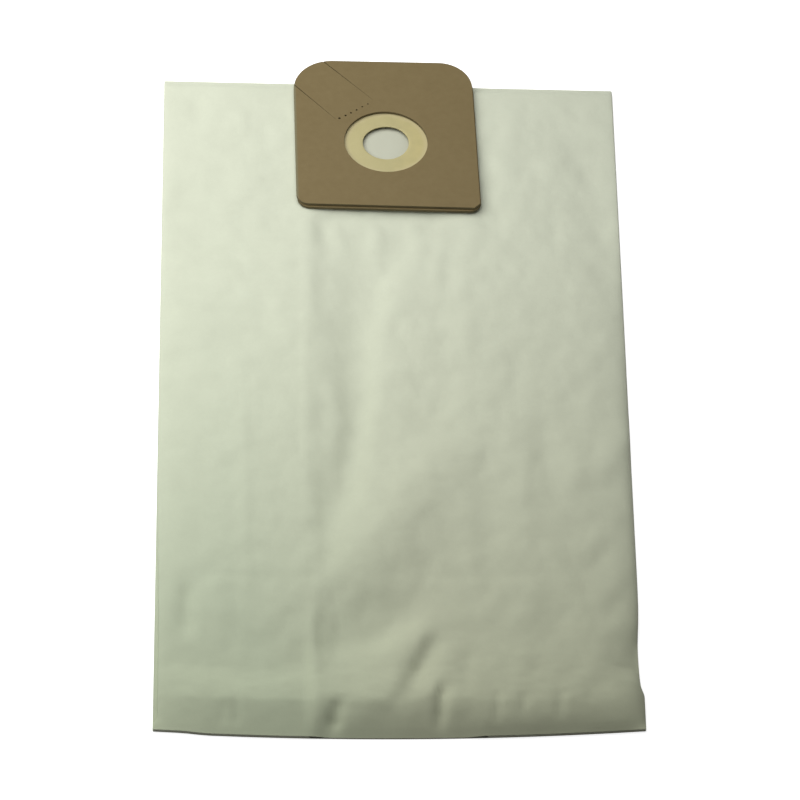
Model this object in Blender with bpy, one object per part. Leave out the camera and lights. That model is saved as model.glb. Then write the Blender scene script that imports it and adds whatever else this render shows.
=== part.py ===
"""Vacuum filter bag with a cardboard collar, pressed flat and lying on its back.

Units are metres and +Z is up. X runs across the bag and +Y towards the collar. The origin is on the
surface that the bag lies on, on its centre line and half way along its length with the collar.

The bag is one tube of fleece. Its sides are tucked in, so a cross-section has four plies at each side
and two in the middle, and both ends are welded shut. Its lower end is full, so the front rolls over
there and down to the weld. The collar is two boards with a rubber membrane held between them, and the
port runs through all of them into the bag.
"""

from collections import namedtuple
from math import cos, exp, hypot, pi, radians, sin, sqrt

import bmesh
import bpy
from mathutils import Matrix, Vector

# Fleece bag
BAG_WIDTH = 0.300
BAG_LENGTH = 0.558
GUSSET_DEPTH = 0.096
PLY = 0.0008
PLY_GAP = 0.0004
SEAM_WIDTH = 0.006
SEAM_THICKNESS = 0.0024
SEAM_STEP = 0.004
SEAM_FLARE = 0.0012
SIDE_PULL = 0.0015
SIDE_PULL_REACH = 0.050
END_BOW = 0.0093
END_BOW_PLACE = -0.060

# How the front of the bag lies
FRONT_PUFF = 0.0028
CENTRE_SAG = 0.0011
SAG_EDGE = 0.009
FLAT_BELOW_COLLAR = 0.008
EASE_BELOW_COLLAR = 0.060
END_FULLNESS = 0.0026
FULLNESS_SQUARENESS = 8
END_ROLL = 0.022
END_FADE = 0.030

# Collar boards
BOARD_WIDTH = 0.121
BOARD_HEIGHT = 0.1325
BOARD_THICKNESS = 0.0018
BOARD_OVERHANG = 0.0175
TOP_CORNER_RADIUS = 0.024
BOTTOM_CORNER_RADIUS = 0.006
CLIPPED_CORNER = 0.004
COLLAR_OFFSET = -0.0025
BACK_BOARD_RIGHT = 0.0020
BACK_BOARD_DOWN = 0.0025
GLUE_LINE = 0.0003

# Port and membrane
PORT_DIAMETER = 0.056
PORT_ABOVE_BOARD_END = 0.058
MEMBRANE_DIAMETER = 0.074
MEMBRANE_OPENING = 0.032
MEMBRANE_THICKNESS = 0.0008
MEMBRANE_CLEARANCE = 0.0003

# Closing tongue, from the front board's top left corner to a perforated line short of the port's rim
TONGUE_WIDTH = 0.030
TONGUE_TO_PORT = 0.0077
TONGUE_ANGLE = radians(-47)
SLIT_WIDTH = 0.0005
PERFORATION_COUNT = 6
PERFORATION_PITCH = 0.0047
PERFORATION_DIAMETER = 0.0014

# Fineness of the facets
ROWS = 44
END_ROWS = 7
SIDE_COLUMNS = 4
CENTRE_COLUMNS = 14
FOLD_SEGMENTS = 4
GAP_SEGMENTS = 2
PORT_SEGMENTS = 64
LIP_SEGMENTS = 4
BIG_CORNER_SEGMENTS = 10
SMALL_CORNER_SEGMENTS = 5
PERFORATION_SEGMENTS = 8

# Levels and places that follow from the sizes above
STACK_HEIGHT = 4 * PLY + 3 * PLY_GAP
FOLD_RADIUS = PLY + PLY_GAP / 2
COLLAR_REST = STACK_HEIGHT + GLUE_LINE
FRONT_REST = COLLAR_REST + BOARD_THICKNESS + GLUE_LINE
MEMBRANE_SEAT = MEMBRANE_THICKNESS + MEMBRANE_CLEARANCE
BAG_TOP = (BAG_LENGTH - BOARD_OVERHANG) / 2
BOARD_CENTRE_Y = BAG_TOP + BOARD_OVERHANG - BOARD_HEIGHT / 2
COLLAR_REACH = BOARD_HEIGHT - BOARD_OVERHANG + BACK_BOARD_DOWN
PORT_Y = BOARD_CENTRE_Y - BOARD_HEIGHT / 2 + PORT_ABOVE_BOARD_END
LOWER_SEAM_LINE = BAG_LENGTH - SEAM_WIDTH
GUSSET_LINE = BAG_WIDTH / 2 - GUSSET_DEPTH
FREE_FRONT = LOWER_SEAM_LINE - COLLAR_REACH

# A soft fold in the front, from one point to another, with its reach to each side and its height. Each
# point is given as shares: across from the centre line to the gusset line, and down from the collar's
# end to the lower seam
Fold = namedtuple("Fold", "across_a down_a across_b down_b reach height")
FOLDS = (
    Fold(-0.30, 0.14, -0.57, 0.58, 0.012, -0.0034),
    Fold(0.87, 0.43, -0.80, 0.74, 0.017, 0.0042),
    Fold(-0.90, 0.86, 0.05, 0.81, 0.018, -0.0022),
    Fold(0.28, 0.81, -0.10, 0.92, 0.010, 0.0028),
    Fold(0.69, 0.86, 0.52, 0.92, 0.009, 0.0018),
)


def material(name, colour, roughness):
    made = bpy.data.materials.new(name)
    made.use_nodes = True
    shader = made.node_tree.nodes["Principled BSDF"]
    shader.inputs["Base Color"].default_value = (*colour, 1.0)
    shader.inputs["Roughness"].default_value = roughness
    shader.inputs["Metallic"].default_value = 0.0
    return made


def add_object(name, mesh_builder, finish=None):
    """Closes the mesh's faces outwards and links it to the scene as one object."""
    bmesh.ops.recalc_face_normals(mesh_builder, faces=mesh_builder.faces)
    mesh = bpy.data.meshes.new(name)
    mesh_builder.to_mesh(mesh)
    mesh_builder.free()
    made = bpy.data.objects.new(name, mesh)
    bpy.context.collection.objects.link(made)
    if finish:
        mesh.materials.append(finish)
    return made


def cut(target, cutter):
    """Takes the cutter away from the target with a Boolean that stays live."""
    cutter.hide_render = True
    cutter.display_type = "WIRE"
    modifier = target.modifiers.new(f"cut_{cutter.name}", "BOOLEAN")
    modifier.operation = "DIFFERENCE"
    modifier.solver = "EXACT"
    modifier.object = cutter


def smooth(target, angle=30):
    target.data.shade_smooth()
    target.data.set_sharp_from_angle(angle=radians(angle))


def ease(value):
    """Rises smoothly from 0 to 1 while value does."""
    value = min(max(value, 0.0), 1.0)
    return value * value * (3 - 2 * value)


def arc(centre_u, centre_v, radius, start, end, segments):
    """Points of an arc from one angle to another, both ends included, angles in degrees."""
    angles = [radians(start + (end - start) * i / segments) for i in range(segments + 1)]
    return [(centre_u + radius * cos(a), centre_v + radius * sin(a)) for a in angles]


def fold_height(fold, across, down):
    """Height of one soft fold: greatest on its line, fading away to both sides and past its ends."""
    start = Vector((fold.across_a * GUSSET_LINE, COLLAR_REACH + fold.down_a * FREE_FRONT))
    end = Vector((fold.across_b * GUSSET_LINE, COLLAR_REACH + fold.down_b * FREE_FRONT))
    run = end - start
    place = Vector((across, down)) - start
    along = min(max(place.dot(run) / run.length_squared, 0.0), 1.0)
    away = hypot(*(place - run * along))
    return fold.height * exp(-((away / fold.reach) ** 2))


def end_rise(down):
    """How full the lower end is: it swells towards the end, up to where the front rolls over."""
    return 1 - ease((LOWER_SEAM_LINE - END_ROLL - down) / END_FADE)


def roll(down):
    """The front's way down to the lower seam, like a quarter of an ellipse."""
    return sqrt(1 - max(1 - (LOWER_SEAM_LINE - down) / END_ROLL, 0.0) ** 2)


def face_height(across, down):
    """Height of the front ply: flat under the collar, and full, sagging and folded in front of it."""
    below_collar = ease((down - COLLAR_REACH - FLAT_BELOW_COLLAR) / EASE_BELOW_COLLAR)
    between_gussets = ease((GUSSET_LINE - abs(across)) / SAG_EDGE)
    folds = sum(fold_height(fold, across, down) for fold in FOLDS) * between_gussets
    full = FRONT_PUFF * below_collar + END_FULLNESS * end_rise(down)
    full *= 1 - (2 * across / BAG_WIDTH) ** FULLNESS_SQUARENESS
    return STACK_HEIGHT + (full + below_collar * (folds - CENTRE_SAG * between_gussets)) * roll(down)


def half_width(down):
    """Half the bag's width, which the fullness above the lower seam pulls in a little."""
    pulled = SIDE_PULL * exp(-(((LOWER_SEAM_LINE - down) / SIDE_PULL_REACH) ** 2))
    return BAG_WIDTH / 2 - pulled


def face_columns(half):
    """Places across the front where its height is set, from the right fold to the left one."""
    nose = half - GUSSET_DEPTH
    side = half - FOLD_RADIUS
    right = [side + (nose - side) * i / SIDE_COLUMNS for i in range(1, SIDE_COLUMNS + 1)]
    centre = [nose - 2 * nose * i / CENTRE_COLUMNS for i in range(1, CENTRE_COLUMNS)]
    return right + centre + [-x for x in reversed(right)]


def mirrored(points):
    return [(-x, z) for x, z in reversed(points)]


def underside(half, z):
    """The ply that the bag lies on, from the left fold to the right one, with the front's own columns."""
    return [(x, z) for x in reversed(face_columns(half))]


def body_outline(down):
    """Outer cross-section of the four plies: a fold for each pair of plies, with the slot between them.

    It returns the points, and the places in that list of the two slots' inner points.
    """
    half = half_width(down)
    radius = FOLD_RADIUS
    slot_end = half - GUSSET_DEPTH + radius
    lower = arc(half - radius, radius, radius, -90, 90, FOLD_SEGMENTS)
    slot = arc(slot_end, 2 * radius + PLY_GAP / 2, PLY_GAP / 2, 270, 90, GAP_SEGMENTS)
    upper = arc(half - radius, 3 * radius + PLY_GAP, radius, -90, 90, FOLD_SEGMENTS)
    right = lower + slot + upper
    face = [(x, face_height(x, down)) for x in face_columns(half)]
    points = right + face + mirrored(right)
    first = len(lower)
    right_slot = list(range(first, first + len(slot)))
    left_slot = [len(points) - 1 - i for i in reversed(right_slot)]
    return points + underside(half, 0.0), right_slot, left_slot


def seam_outline():
    """Cross-section of a welded end: all plies pressed together, with each slot's mouth left as an edge."""
    half = BAG_WIDTH / 2 + SEAM_FLARE
    radius = (SEAM_THICKNESS - PLY_GAP) / 4
    right = arc(half - radius, radius, radius, -90, 90, FOLD_SEGMENTS)
    right += arc(half - radius, 3 * radius + PLY_GAP, radius, -90, 90, FOLD_SEGMENTS)
    face = [(x, SEAM_THICKNESS) for x in face_columns(half)]
    return right + face + mirrored(right) + underside(half, 0.0)


def cavity_outline(down):
    """Inner cross-section: the space between the plies, which reaches into each fold and round each gusset."""
    half = half_width(down)
    radius = FOLD_RADIUS
    nose = half - GUSSET_DEPTH + radius
    right = arc(half - radius, radius, PLY_GAP / 2, -90, 90, GAP_SEGMENTS)
    right += arc(nose, 2 * radius + PLY_GAP / 2, radius, 270, 90, FOLD_SEGMENTS)
    right += arc(half - radius, 3 * radius + PLY_GAP, PLY_GAP / 2, -90, 90, GAP_SEGMENTS)
    face = [(x, face_height(x, down) - PLY) for x in face_columns(half)]
    return right + face + mirrored(right) + underside(half, PLY)


def ring_at(builder, outline, down):
    """Places a cross-section on the bag, whose lower end is bowed and shortest at its right corner."""
    ring = []
    for x, z in outline:
        off_bow = (x - END_BOW_PLACE) / (BAG_WIDTH / 2 - END_BOW_PLACE)
        shorter = END_BOW * off_bow**2 * down / BAG_LENGTH
        ring.append(builder.verts.new((x, BAG_TOP - down + shorter, z)))
    return ring


def bridge_rings(builder, ring_a, ring_b):
    """Joins two rings by triangles, split alike everywhere so that a ply keeps its thickness in a fold."""
    count = len(ring_a)
    for i in range(count):
        j = (i + 1) % count
        builder.faces.new((ring_a[i], ring_a[j], ring_b[j]))
        builder.faces.new((ring_a[i], ring_b[j], ring_b[i]))


def fan(builder, hub, rim):
    for start, end in zip(rim, rim[1:]):
        builder.faces.new((hub, start, end))


def halves(ring):
    """A ring's parts for each side: its points round the fold, then its columns in the front and in the
    underside, from the fold to the other side."""
    columns = 2 * SIDE_COLUMNS + CENTRE_COLUMNS - 1
    folds = (len(ring) - 2 * columns) // 2
    front = ring[folds : folds + columns]
    left = ring[folds + columns : columns + 2 * folds]
    lower = ring[columns + 2 * folds :]
    return (ring[:folds], front, lower[::-1]), (left[::-1], front[::-1], lower)


def close_weld(builder, ring):
    """Closes a weld's end, which may be bowed, by an upright face for each pair of columns."""
    for fold, front, lower in halves(ring):
        builder.faces.new([*fold, front[0], lower[0]])
    for i in range(len(front) - 1):
        builder.faces.new((front[i], front[i + 1], lower[i + 1], lower[i]))


def close_cavity(builder, ring):
    """Closes an end of the cavity, which may be bowed: between the gussets by an upright face for each
    pair of columns, and above and below each gusset by triangles that meet at its nose."""
    inmost = SIDE_COLUMNS - 1
    tip = FOLD_SEGMENTS // 2
    for fold, front, lower in halves(ring):
        below = fold[: GAP_SEGMENTS + 1]
        nose = fold[GAP_SEGMENTS + 1 : -GAP_SEGMENTS - 1]
        above = fold[-GAP_SEGMENTS - 1 :]
        builder.faces.new([lower[inmost], *nose[: tip + 1]])
        builder.faces.new([front[inmost], *nose[tip:]])
        builder.faces.new((nose[tip], front[inmost], front[inmost + 1], lower[inmost + 1], lower[inmost]))
        fan(builder, nose[0], lower[inmost::-1] + below)
        fan(builder, nose[-1], front[inmost::-1] + above[::-1])
    for i in range(inmost + 1, len(front) - inmost - 2):
        builder.faces.new((front[i], front[i + 1], lower[i + 1], lower[i]))


def rows():
    """Places along the bag, down from its top edge: one seam line to the roll, then closer to the other."""
    roll_start = LOWER_SEAM_LINE - END_ROLL
    plain = [SEAM_WIDTH + (roll_start - SEAM_WIDTH) * i / ROWS for i in range(ROWS)]
    return plain + [LOWER_SEAM_LINE - END_ROLL * (1 - i / END_ROWS) ** 2 for i in range(END_ROWS + 1)]


def bag_form(finish):
    """The folded and welded tube from outside, slots included, still solid inside."""
    builder = bmesh.new()
    body = []
    for down in rows():
        outline, right_slot, left_slot = body_outline(down)
        body.append(ring_at(builder, outline, down))
    for ring_a, ring_b in zip(body, body[1:]):
        bridge_rings(builder, ring_a, ring_b)
    ends = ((body[0], SEAM_WIDTH - SEAM_STEP, 0.0), (body[-1], LOWER_SEAM_LINE + SEAM_STEP, BAG_LENGTH))
    for ring, step_end, edge in ends:
        for slot in (right_slot, left_slot):
            builder.faces.new([ring[i] for i in (slot[0] - 1, *slot, slot[-1] + 1)])
        kept = [vertex for i, vertex in enumerate(ring) if i not in right_slot + left_slot]
        inner = ring_at(builder, seam_outline(), step_end)
        outer = ring_at(builder, seam_outline(), edge)
        bridge_rings(builder, kept, inner)
        bridge_rings(builder, inner, outer)
        close_weld(builder, outer)
    return add_object("filter_bag", builder, finish)


def cavity():
    """The space inside the bag, from one seam line to the other."""
    builder = bmesh.new()
    rings = [ring_at(builder, cavity_outline(down), down) for down in rows()]
    for ring_a, ring_b in zip(rings, rings[1:]):
        bridge_rings(builder, ring_a, ring_b)
    close_cavity(builder, rings[0])
    close_cavity(builder, rings[-1])
    return add_object("bag_cavity", builder)


def cylinder(name, diameter, low, high, places, segments):
    """Upright cylinders at the given places, as one cutter."""
    builder = bmesh.new()
    for x, y in places:
        bmesh.ops.create_cone(
            builder,
            cap_ends=True,
            segments=segments,
            radius1=diameter / 2,
            radius2=diameter / 2,
            depth=high - low,
            matrix=Matrix.Translation((x, y, (low + high) / 2)),
        )
    return add_object(name, builder)


def rounded_plate(name, centre_x, centre_y, low, clipped, finish):
    """A collar board: a rectangle with big round corners at the top and small ones at the bottom, where
    the right one may be clipped straight instead."""
    half_w = BOARD_WIDTH / 2
    half_h = BOARD_HEIGHT / 2
    low_right = (CLIPPED_CORNER, 270, 1) if clipped else (BOTTOM_CORNER_RADIUS, 270, SMALL_CORNER_SEGMENTS)
    corners = (
        (1, -1, *low_right),
        (1, 1, TOP_CORNER_RADIUS, 0, BIG_CORNER_SEGMENTS),
        (-1, 1, TOP_CORNER_RADIUS, 90, BIG_CORNER_SEGMENTS),
        (-1, -1, BOTTOM_CORNER_RADIUS, 180, SMALL_CORNER_SEGMENTS),
    )
    outline = []
    for side, end, radius, start, segments in corners:
        corner_x = centre_x + side * (half_w - radius)
        corner_y = centre_y + end * (half_h - radius)
        outline += arc(corner_x, corner_y, radius, start, start + 90, segments)
    builder = bmesh.new()
    face = builder.faces.new([builder.verts.new((x, y, low)) for x, y in outline])
    raised = bmesh.ops.extrude_face_region(builder, geom=[face])["geom"]
    lifted = [item for item in raised if isinstance(item, bmesh.types.BMVert)]
    bmesh.ops.translate(builder, verts=lifted, vec=(0, 0, BOARD_THICKNESS))
    return add_object(name, builder, finish)


def tongue_frame():
    """The front board's top left corner, the way the tongue runs in from it, the way across it, and its
    length: its perforated line stops short of the port's rim."""
    corner = Vector((COLLAR_OFFSET - BOARD_WIDTH / 2, BOARD_CENTRE_Y + BOARD_HEIGHT / 2, FRONT_REST))
    inwards = Vector((cos(TONGUE_ANGLE), sin(TONGUE_ANGLE), 0.0))
    across = Vector((-inwards.y, inwards.x, 0.0))
    to_port = (Vector((COLLAR_OFFSET, PORT_Y, FRONT_REST)) - corner).dot(inwards)
    return corner, inwards, across, to_port - PORT_DIAMETER / 2 - TONGUE_TO_PORT


def tongue_slits():
    """Two thin cuts that free the tongue, from past the board's edge to the perforated line."""
    corner, inwards, across, length = tongue_frame()
    builder = bmesh.new()
    for side in (-1, 1):
        centre = corner + inwards * length / 2 + across * side * TONGUE_WIDTH / 2
        centre.z += BOARD_THICKNESS / 2
        size = Matrix.Diagonal((length, SLIT_WIDTH, 2 * BOARD_THICKNESS, 1.0))
        turn = Matrix.Rotation(TONGUE_ANGLE, 4, "Z")
        bmesh.ops.create_cube(builder, size=1.0, matrix=Matrix.Translation(centre) @ turn @ size)
    return add_object("tongue_slits", builder)


def perforation():
    """The row of pin holes that the tongue hangs on, counted from the lower slit."""
    corner, inwards, across, length = tongue_frame()
    start = corner + inwards * length - across * TONGUE_WIDTH / 2
    spots = [start + across * PERFORATION_PITCH * (i + 0.5) for i in range(PERFORATION_COUNT)]
    low = FRONT_REST - BOARD_THICKNESS / 2
    high = FRONT_REST + 1.5 * BOARD_THICKNESS
    places = [spot.xy for spot in spots]
    return cylinder("perforation", PERFORATION_DIAMETER, low, high, places, PERFORATION_SEGMENTS)


def sealing_membrane(finish):
    """A rubber disc turned about the port's axis, its opening's edge rounded."""
    low = FRONT_REST - GLUE_LINE - MEMBRANE_THICKNESS
    lip = MEMBRANE_THICKNESS / 2
    inner = MEMBRANE_OPENING / 2
    outer = MEMBRANE_DIAMETER / 2
    profile = arc(inner + lip, low + lip, lip, 90, 270, LIP_SEGMENTS)
    profile += [(outer, low), (outer, low + MEMBRANE_THICKNESS)]
    builder = bmesh.new()
    points = [builder.verts.new((COLLAR_OFFSET + u, PORT_Y, v)) for u, v in profile]
    edges = [builder.edges.new((points[i], points[i - 1])) for i in range(len(points))]
    bmesh.ops.spin(
        builder,
        geom=points + edges,
        cent=(COLLAR_OFFSET, PORT_Y, 0.0),
        axis=(0.0, 0.0, 1.0),
        angle=2 * pi,
        steps=PORT_SEGMENTS,
        use_merge=True,
    )
    return add_object("sealing_membrane", builder, finish)


def build():
    for old in list(bpy.data.objects):
        bpy.data.objects.remove(old)
    fleece = material("fleece", (0.578, 0.604, 0.479), 0.85)
    kraft = material("kraft_board", (0.205, 0.156, 0.074), 0.75)
    rubber = material("cream_rubber", (0.497, 0.445, 0.235), 0.55)

    bag = bag_form(fleece)
    back_x = COLLAR_OFFSET + BACK_BOARD_RIGHT
    back_y = BOARD_CENTRE_Y - BACK_BOARD_DOWN
    back = rounded_plate("back_board", back_x, back_y, COLLAR_REST, False, kraft)
    front = rounded_plate("front_board", COLLAR_OFFSET, BOARD_CENTRE_Y, FRONT_REST, True, kraft)
    membrane = sealing_membrane(rubber)

    port_place = [(COLLAR_OFFSET, PORT_Y)]
    port = cylinder(
        "port", PORT_DIAMETER, STACK_HEIGHT / 2, FRONT_REST + 2 * BOARD_THICKNESS, port_place, PORT_SEGMENTS
    )
    seat_top = COLLAR_REST + BOARD_THICKNESS
    seat = cylinder(
        "membrane_seat",
        MEMBRANE_DIAMETER + 2 * MEMBRANE_CLEARANCE,
        seat_top - MEMBRANE_SEAT,
        seat_top + GLUE_LINE / 2,
        port_place,
        PORT_SEGMENTS,
    )
    cut(bag, cavity())
    cut(bag, port)
    cut(back, port)
    cut(back, seat)
    cut(front, port)
    cut(front, tongue_slits())
    cut(front, perforation())
    for piece in (bag, back, front, membrane):
        smooth(piece)


build()
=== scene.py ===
# %% [markdown]
# A vacuum filter bag, pressed flat and lying on its back. The real one is a tube of felted fleece with
# tucked sides, and a cardboard collar is glued to it near its top end. The construction comes from the
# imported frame, which stays where it is, and this script gives each piece its fine shape and its finish.

# %% Load the frame
import math

import bpy
import numpy as np
from mathutils import Matrix, Vector, noise


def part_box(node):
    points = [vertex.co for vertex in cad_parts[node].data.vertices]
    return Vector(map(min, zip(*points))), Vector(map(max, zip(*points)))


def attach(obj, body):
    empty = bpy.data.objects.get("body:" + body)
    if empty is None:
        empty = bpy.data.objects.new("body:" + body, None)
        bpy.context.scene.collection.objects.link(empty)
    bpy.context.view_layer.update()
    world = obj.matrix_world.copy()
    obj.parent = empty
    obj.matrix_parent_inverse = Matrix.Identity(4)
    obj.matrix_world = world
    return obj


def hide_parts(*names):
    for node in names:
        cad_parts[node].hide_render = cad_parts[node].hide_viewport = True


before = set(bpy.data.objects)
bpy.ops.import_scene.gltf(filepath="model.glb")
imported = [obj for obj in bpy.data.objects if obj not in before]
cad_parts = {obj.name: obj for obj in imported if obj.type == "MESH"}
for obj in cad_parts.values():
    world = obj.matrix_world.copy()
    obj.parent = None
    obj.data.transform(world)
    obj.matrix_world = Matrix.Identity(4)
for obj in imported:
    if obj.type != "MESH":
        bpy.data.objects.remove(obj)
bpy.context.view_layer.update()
MM = 0.001
bag_low, bag_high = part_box("filter_bag")
print("The frame has", len(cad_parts), "nodes")
print("The bag measures", [round(v / MM, 1) for v in bag_high - bag_low], "mm")

# %% [markdown]
# The camera stands where the photographer stood: far away, a little to the left, and looking down at just
# under half a right angle. A long lens keeps the sides of the bag nearly parallel. Three turns place it:
# tilt it down, swing it round, and roll it a little about the line of sight.

# %% Camera
CAMERA_TARGET = Vector((0.0042, -0.0094, 0.0))
CAMERA_DISTANCE = 3.8177
CAMERA_SWING = math.radians(-3.71)
CAMERA_TILT = math.radians(48.29)
CAMERA_ROLL = math.radians(3.94)
LENS_MM = 268.2
SENSOR_MM = 36.0
FARTHEST = 20.0


def add_camera():
    data = bpy.data.cameras.new("camera")
    data.lens = LENS_MM
    data.sensor_width = SENSOR_MM
    data.clip_end = FARTHEST
    camera = bpy.data.objects.new("camera", data)
    bpy.context.scene.collection.objects.link(camera)
    swing = Matrix.Rotation(CAMERA_SWING, 4, "Z")
    tilt = Matrix.Rotation(math.pi / 2 - CAMERA_TILT, 4, "X")
    roll = Matrix.Rotation(CAMERA_ROLL, 4, "Z")
    turned = swing @ tilt @ roll
    back = turned.to_3x3() @ Vector((0, 0, 1))
    camera.matrix_world = Matrix.Translation(CAMERA_TARGET + back * CAMERA_DISTANCE) @ turned
    bpy.context.scene.camera = camera
    return camera


camera = add_camera()
bpy.context.scene.view_settings.view_transform = "Standard"
print("The camera stands at", [round(v, 3) for v in camera.matrix_world.translation])

# %% [markdown]
# Shader maths reads best as plain sums. A small class wraps one socket, and each sum or product on it adds
# the Math node that does it. Every other node comes from one method, which sets the node up and then
# feeds its sockets with numbers or with the results of other nodes.


# %% A small language for materials
class Value:
    """A result inside a material. Sums and products on it add Math nodes."""

    def __init__(self, finish, socket):
        self.finish = finish
        self.socket = socket

    def math(self, operation, first, second=0.0):
        node = self.finish.node("ShaderNodeMath", {"operation": operation}, {0: first, 1: second})
        return node["Value"]

    def __add__(self, other):
        return self.math("ADD", self, other)

    def __radd__(self, other):
        return self.math("ADD", other, self)

    def __sub__(self, other):
        return self.math("SUBTRACT", self, other)

    def __rsub__(self, other):
        return self.math("SUBTRACT", other, self)

    def __mul__(self, other):
        return self.math("MULTIPLY", self, other)

    def __rmul__(self, other):
        return self.math("MULTIPLY", other, self)

    def __truediv__(self, other):
        return self.math("DIVIDE", self, other)


class Node:
    """A node inside a material. Its outputs are asked for by name."""

    def __init__(self, finish, node):
        self.finish = finish
        self.node = node

    def __getitem__(self, output):
        return Value(self.finish, self.node.outputs[output])


class Finish:
    """A material whose nodes are added one call at a time."""

    def __init__(self, name, constants):
        self.material = bpy.data.materials.new(name)
        self.material.use_nodes = True
        self.tree = self.material.node_tree
        self.shader = self.tree.nodes["Principled BSDF"]
        for socket, value in constants.items():
            self.shader.inputs[socket].default_value = value

    def feed(self, socket, value):
        if isinstance(value, Value):
            self.tree.links.new(value.socket, socket)
        else:
            socket.default_value = value

    def node(self, kind, settings=None, inputs=None):
        node = self.tree.nodes.new(kind)
        for name, value in (settings or {}).items():
            if name == "stops":
                self.set_stops(node.color_ramp, value)
            else:
                setattr(node, name, value)
        for place, value in (inputs or {}).items():
            self.feed(node.inputs[place], value)
        return Node(self, node)

    def set_stops(self, ramp, stops):
        while len(ramp.elements) < len(stops):
            ramp.elements.new(1.0)
        for element, (place, level) in zip(ramp.elements, stops):
            element.position = place
            element.color = (level, level, level, 1.0)

    def place(self):
        return self.node("ShaderNodeTexCoord")["Object"]

    def stretched(self, scale, turn=0.0):
        settings = {"Vector": self.place(), "Scale": scale, "Rotation": (0.0, 0.0, turn)}
        return self.node("ShaderNodeMapping", None, settings)["Vector"]

    def noise(self, where, scale=1.0, detail=2.0, roughness=0.5, distortion=0.0):
        settings = {
            "Vector": where,
            "Scale": scale,
            "Detail": detail,
            "Roughness": roughness,
            "Distortion": distortion,
        }
        return self.node("ShaderNodeTexNoise", None, settings)["Fac"]

    def steps(self, value, *stops):
        return self.node("ShaderNodeValToRGB", {"stops": stops}, {"Fac": value})["Color"]

    def mix(self, share, first, second, blend="MIX"):
        settings = {"data_type": "RGBA", "blend_type": blend}
        return self.node("ShaderNodeMix", settings, {0: share, 6: first, 7: second})[2]

    def bump(self, height, distance, strength=1.0):
        settings = {"Height": height, "Distance": distance, "Strength": strength}
        normal = self.node("ShaderNodeBump", None, settings)["Normal"]
        self.feed(self.shader.inputs["Normal"], normal)

    def set(self, socket, value):
        self.feed(self.shader.inputs[socket], value)


print("Materials can now be written as sums")

# %% [markdown]
# Light and floor. The photograph is lit by one broad lamp near the bag's top left corner, so brightness
# falls off towards the lower right and each fold shows a lit flank and a shaded one. A square area lamp
# does the same. The floor takes the object's shadow and adds a white glow that only the camera and
# reflections see, so the background is white while no extra light reaches the bag.

# %% Lamp, world and floor
LAMP_PLACE = Vector((-0.285, 0.30, 0.52))
LAMP_AIM = Vector((-0.10, 0.40, 0.0))
LAMP_SIZE = 0.90
LAMP_WATTS = 6.6
WORLD_STRENGTH = 0.10
FLOOR_SIZE = 14.0
FLOOR_GLOW = 0.80
FLOOR_COLOUR = (0.80, 0.80, 0.80, 1.0)
WHITE = (1.0, 1.0, 1.0, 1.0)


def add_lamp():
    data = bpy.data.lights.new("window", "AREA")
    data.shape = "SQUARE"
    data.size = LAMP_SIZE
    data.energy = LAMP_WATTS
    lamp = bpy.data.objects.new("window", data)
    bpy.context.scene.collection.objects.link(lamp)
    lamp.location = LAMP_PLACE
    lamp.rotation_euler = (LAMP_AIM - LAMP_PLACE).to_track_quat("-Z", "Y").to_euler()
    lamp.visible_camera = False


def seen_rays(tree):
    """1 for rays that come from the camera, a reflection or a clear piece, and 0 for those that light."""
    path = tree.nodes.new("ShaderNodeLightPath")
    total = path.outputs["Is Camera Ray"]
    for name in ("Is Glossy Ray", "Is Transmission Ray"):
        either = tree.nodes.new("ShaderNodeMath")
        either.operation = "MAXIMUM"
        tree.links.new(total, either.inputs[0])
        tree.links.new(path.outputs[name], either.inputs[1])
        total = either.outputs[0]
    return total


def set_world():
    world = bpy.data.worlds.new("studio")
    world.use_nodes = True
    tree = world.node_tree
    background = tree.nodes["Background"]
    background.inputs["Color"].default_value = WHITE
    strength = tree.nodes.new("ShaderNodeMapRange")
    strength.inputs["To Min"].default_value = WORLD_STRENGTH
    strength.inputs["To Max"].default_value = 1.0
    tree.links.new(seen_rays(tree), strength.inputs["Value"])
    tree.links.new(strength.outputs[0], background.inputs["Strength"])
    bpy.context.scene.world = world


def add_floor():
    bpy.ops.mesh.primitive_plane_add(size=FLOOR_SIZE, location=(0.0, 0.0, 0.0))
    floor = bpy.context.object
    floor.name = "floor"
    made = bpy.data.materials.new("floor_white")
    made.use_nodes = True
    tree = made.node_tree
    shader = tree.nodes["Principled BSDF"]
    shader.inputs["Base Color"].default_value = FLOOR_COLOUR
    shader.inputs["Roughness"].default_value = 1.0
    shader.inputs["Specular IOR Level"].default_value = 0.0
    glow = tree.nodes.new("ShaderNodeEmission")
    glow.inputs["Color"].default_value = WHITE
    seen = tree.nodes.new("ShaderNodeMath")
    seen.operation = "MULTIPLY"
    seen.inputs[1].default_value = FLOOR_GLOW
    tree.links.new(seen_rays(tree), seen.inputs[0])
    tree.links.new(seen.outputs[0], glow.inputs["Strength"])
    both = tree.nodes.new("ShaderNodeAddShader")
    tree.links.new(shader.outputs[0], both.inputs[0])
    tree.links.new(glow.outputs[0], both.inputs[1])
    tree.links.new(both.outputs[0], tree.nodes["Material Output"].inputs["Surface"])
    floor.data.materials.append(made)
    return floor


add_lamp()
set_world()
floor = add_floor()
print("Lamp", LAMP_WATTS, "W,", LAMP_SIZE, "m wide")

# %% [markdown]
# The bag's section. The fleece is one tube whose sides are tucked in, so a cut across it shows four plies
# at each side and two in the middle. Going once round that cut gives the columns of a grid, and going
# down the bag gives its rows. Each point of the section has a place across and a level: 0 on the back,
# 1 on the front, and the plies between at their shares of the stack.

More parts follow.
